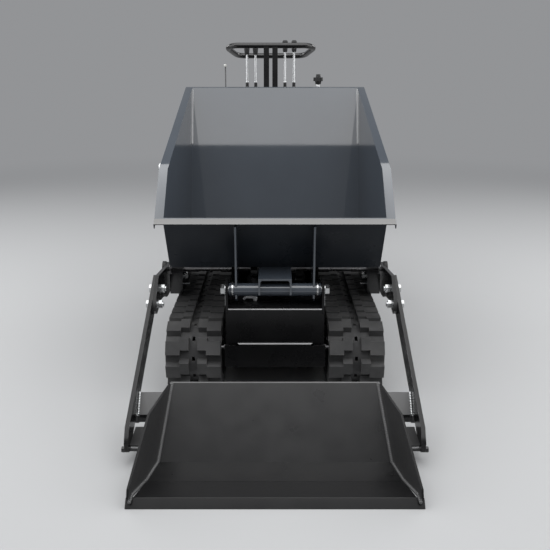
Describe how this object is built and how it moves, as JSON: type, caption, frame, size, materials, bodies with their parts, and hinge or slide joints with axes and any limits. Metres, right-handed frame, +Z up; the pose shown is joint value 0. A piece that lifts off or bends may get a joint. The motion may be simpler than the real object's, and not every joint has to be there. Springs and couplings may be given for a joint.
{
  "type": "tracked power carrier",
  "caption": "Walk-behind carrier on rubber tracks with a tipping hopper, a self-loading shovel on side arms, an engine and a handlebar with control levers.",
  "frame": {"origin": "on the ground under the middle of the machine's bounding box", "axes": "+Z up, -Y towards the shovel in front, +Y towards the operator, +X to the right in the front view"},
  "size_m": [0.836, 2.14, 1.1417],
  "materials": {
    "chassis_black": "satin powder coat",
    "loader_black": "gloss paint",
    "bar_black": "gloss powder coat",
    "hopper_slate": "satin paint",
    "shovel_grey": "matte primer grey",
    "track_rubber": "moulded, dull",
    "buffer_rubber": "moulded",
    "zinc": "bright zinc plate",
    "lever_zinc": "bright zinc plate",
    "shaft_steel": "turned",
    "wheel_iron": "painted casting",
    "cylinder_black": "satin paint",
    "rod_chrome": "ground and plated",
    "engine_alloy": "cast",
    "engine_black": "satin paint",
    "tank_plastic": "moulded",
    "muffler_steel": "pressed sheet",
    "pump_iron": "painted casting",
    "cap_plastic": "moulded"
  },
  "bodies": {
    "chassis": {"chassis_frame": "chassis_black", "front_cover": "chassis_black", "rear_deck": "chassis_black", "chassis_bolts": "zinc", "rest_buffers": "buffer_rubber", "track_frame_left": "chassis_black", "track_frame_right": "chassis_black", "track_belt_left": "track_rubber", "track_belt_right": "track_rubber", "wheel_axles": "zinc", "drive_motors": "pump_iron", "outrigger_left": "chassis_black", "outrigger_right": "chassis_black", "engine_block": "engine_alloy", "engine_shroud": "engine_black", "fuel_tank": "tank_plastic", "muffler": "muffler_steel", "air_cleaner": "tank_plastic", "hydraulic_pump": "pump_iron", "oil_tank": "chassis_black", "console": "chassis_black", "control_valve": "pump_iron", "handlebar": "bar_black", "handlebar_posts": "chassis_black"},
    "hopper": {"hopper_shell": "hopper_slate", "hopper_ribs": "hopper_slate", "hinge_tube": "hopper_slate", "hopper_bracket": "hopper_slate", "rim_stop": "zinc"},
    "loader": {"lift_shaft": "shaft_steel", "crank_left": "loader_black", "crank_right": "loader_black", "arm_left": "loader_black", "arm_right": "loader_black", "loader_bolts": "zinc", "shovel_beam": "loader_black", "shovel": "shovel_grey", "cutting_edge": "shovel_grey"},
    "tip_cylinder": {"tip_barrel": "cylinder_black"},
    "tip_piston": {"tip_rod": "rod_chrome"},
    "lift_cylinder": {"lift_barrel": "cylinder_black"},
    "lift_piston": {"lift_rod": "rod_chrome"},
    "tip_handle": {"lever_tip": "lever_zinc"},
    "lift_handle": {"lever_lift": "lever_zinc"},
    "left_drive_handle": {"lever_drive_left": "lever_zinc"},
    "right_drive_handle": {"lever_drive_right": "lever_zinc"},
    "throttle_handle": {"throttle_lever": "lever_zinc"},
    "filler_cap": {"oil_cap": "cap_plastic"},
    "sprocket_left": {"sprocket_left": "wheel_iron"},
    "idler_left": {"idler_left": "wheel_iron"},
    "roller_left_1": {"roller_left_1": "wheel_iron"},
    "roller_left_2": {"roller_left_2": "wheel_iron"},
    "roller_left_3": {"roller_left_3": "wheel_iron"},
    "sprocket_right": {"sprocket_right": "wheel_iron"},
    "idler_right": {"idler_right": "wheel_iron"},
    "roller_right_1": {"roller_right_1": "wheel_iron"},
    "roller_right_2": {"roller_right_2": "wheel_iron"},
    "roller_right_3": {"roller_right_3": "wheel_iron"}
  },
  "joints": [
    {"name": "hopper_tip", "type": "hinge", "parent": "chassis", "child": "hopper", "pos_m": [0, -0.437, 0.357], "axis": [-1, 0, 0], "range_deg": [-60, 0]},
    {"name": "loader_lift", "type": "hinge", "parent": "chassis", "child": "loader", "pos_m": [0, -0.102, 0.33], "axis": [-1, 0, 0], "range_deg": [0, 115]},
    {"name": "tip_barrel_swing", "type": "hinge", "parent": "chassis", "child": "tip_cylinder", "pos_m": [-0.07, -0.06, 0.15], "axis": [-1, 0, 0], "range_deg": [0, 3.2]},
    {"name": "tip_rod_slide", "type": "slide", "parent": "tip_cylinder", "child": "tip_piston", "axis": [0, -0.7118, 0.7023], "range_m": [0, 0.1515]},
    {"name": "lift_barrel_swing", "type": "hinge", "parent": "chassis", "child": "lift_cylinder", "pos_m": [0.09, 0.24, 0.225], "axis": [-1, 0, 0], "range_deg": [0, 1.85]},
    {"name": "lift_rod_slide", "type": "slide", "parent": "lift_cylinder", "child": "lift_piston", "axis": [0, -0.9871, 0.1602], "range_m": [0, 0.11]},
    {"name": "tip_lever", "type": "hinge", "parent": "chassis", "child": "tip_handle", "pos_m": [-0.134, 0.965, 0.885], "axis": [1, 0, 0], "range_deg": [-10, 10], "stiffness_Nm_per_rad": 6},
    {"name": "lift_lever", "type": "hinge", "parent": "chassis", "child": "lift_handle", "pos_m": [-0.093, 0.965, 0.885], "axis": [1, 0, 0], "range_deg": [-10, 10], "stiffness_Nm_per_rad": 6},
    {"name": "left_drive_lever", "type": "hinge", "parent": "chassis", "child": "left_drive_handle", "pos_m": [0.048, 0.965, 0.885], "axis": [1, 0, 0], "range_deg": [-10, 10], "stiffness_Nm_per_rad": 6},
    {"name": "right_drive_lever", "type": "hinge", "parent": "chassis", "child": "right_drive_handle", "pos_m": [0.091, 0.965, 0.885], "axis": [1, 0, 0], "range_deg": [-10, 10], "stiffness_Nm_per_rad": 6},
    {"name": "throttle", "type": "hinge", "parent": "chassis", "child": "throttle_handle", "pos_m": [-0.234, 0.905, 0.905], "axis": [1, 0, 0], "range_deg": [-20, 20]},
    {"name": "cap_turn", "type": "hinge", "parent": "chassis", "child": "filler_cap", "pos_m": [0.197, 0.775, 0.954], "axis": [0, 0, 1], "continuous": true},
    {"name": "left_drive", "type": "hinge", "parent": "chassis", "child": "sprocket_left", "pos_m": [-0.262, 0.46561, 0.1175], "axis": [1, 0, 0], "continuous": true},
    {"name": "left_idler_turn", "type": "hinge", "parent": "chassis", "child": "idler_left", "pos_m": [-0.262, -0.3695, 0.1175], "axis": [1, 0, 0], "continuous": true},
    {"name": "left_roller_1_turn", "type": "hinge", "parent": "chassis", "child": "roller_left_1", "pos_m": [-0.262, -0.16072, 0.0776], "axis": [1, 0, 0], "continuous": true},
    {"name": "left_roller_2_turn", "type": "hinge", "parent": "chassis", "child": "roller_left_2", "pos_m": [-0.262, 0.04806, 0.0776], "axis": [1, 0, 0], "continuous": true},
    {"name": "left_roller_3_turn", "type": "hinge", "parent": "chassis", "child": "roller_left_3", "pos_m": [-0.262, 0.25683, 0.0776], "axis": [1, 0, 0], "continuous": true},
    {"name": "right_drive", "type": "hinge", "parent": "chassis", "child": "sprocket_right", "pos_m": [0.262, 0.46561, 0.1175], "axis": [1, 0, 0], "continuous": true},
    {"name": "right_idler_turn", "type": "hinge", "parent": "chassis", "child": "idler_right", "pos_m": [0.262, -0.3695, 0.1175], "axis": [1, 0, 0], "continuous": true},
    {"name": "right_roller_1_turn", "type": "hinge", "parent": "chassis", "child": "roller_right_1", "pos_m": [0.262, -0.16072, 0.0776], "axis": [1, 0, 0], "continuous": true},
    {"name": "right_roller_2_turn", "type": "hinge", "parent": "chassis", "child": "roller_right_2", "pos_m": [0.262, 0.04806, 0.0776], "axis": [1, 0, 0], "continuous": true},
    {"name": "right_roller_3_turn", "type": "hinge", "parent": "chassis", "child": "roller_right_3", "pos_m": [0.262, 0.25683, 0.0776], "axis": [1, 0, 0], "continuous": true}
  ],
  "couplings": [
    {"joint": "tip_barrel_swing", "follows": "hopper_tip", "ratio": -0.0529},
    {"joint": "tip_rod_slide", "follows": "hopper_tip", "m_per_rad": -0.14443},
    {"joint": "lift_barrel_swing", "follows": "loader_lift", "ratio": 0.016},
    {"joint": "lift_rod_slide", "follows": "loader_lift", "m_per_rad": 0.05475},
    {"joint": "left_idler_turn", "follows": "left_drive", "ratio": 1},
    {"joint": "left_roller_1_turn", "follows": "left_drive", "ratio": 2.0676},
    {"joint": "left_roller_2_turn", "follows": "left_drive", "ratio": 2.0676},
    {"joint": "left_roller_3_turn", "follows": "left_drive", "ratio": 2.0676},
    {"joint": "right_idler_turn", "follows": "right_drive", "ratio": 1},
    {"joint": "right_roller_1_turn", "follows": "right_drive", "ratio": 2.0676},
    {"joint": "right_roller_2_turn", "follows": "right_drive", "ratio": 2.0676},
    {"joint": "right_roller_3_turn", "follows": "right_drive", "ratio": 2.0676}
  ]
}
